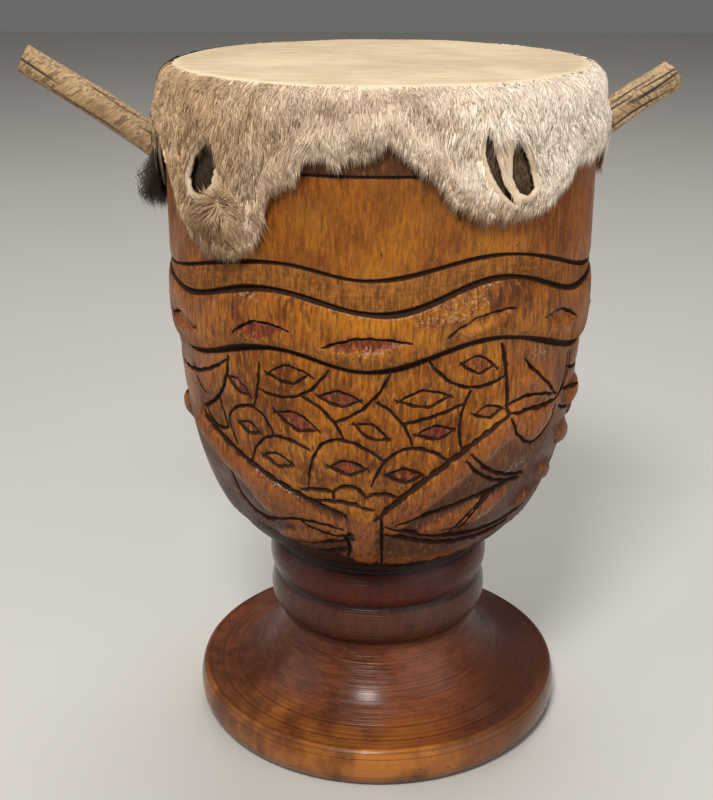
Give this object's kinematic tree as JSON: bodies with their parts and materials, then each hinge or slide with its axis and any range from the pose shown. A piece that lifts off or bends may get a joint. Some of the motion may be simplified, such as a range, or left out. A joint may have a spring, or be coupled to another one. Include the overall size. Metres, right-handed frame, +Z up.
{
  "type": "carved goblet drum",
  "caption": "Goblet-shaped ritual drum carved from one log, with a hide head laced by driven pegs and a flared foot.",
  "frame": {"origin": "centre of the foot's flat underside, on the axis that the bowl and foot are turned about", "axes": "+Z up through the head, +X to the right and -Y towards the viewer when the two empty front slots face the viewer"},
  "size_m": [0.3253, 0.2162, 0.346],
  "materials": {
    "carved_wood": "varnished honey-brown hardwood with nearly black stain in the cuts",
    "goat_hide": "dried goat hide with cream to tan hair left on, shaved on top",
    "stick_wood": "bare dry split stick, straw-coloured",
    "goat_hair": "short goat hair, cream, tan and dark brown"
  },
  "bodies": {
    "root": {"shell": "carved_wood", "drumhead": "goat_hide", "peg_left": "stick_wood", "peg_right": "stick_wood"}
  },
  "joints": []
}
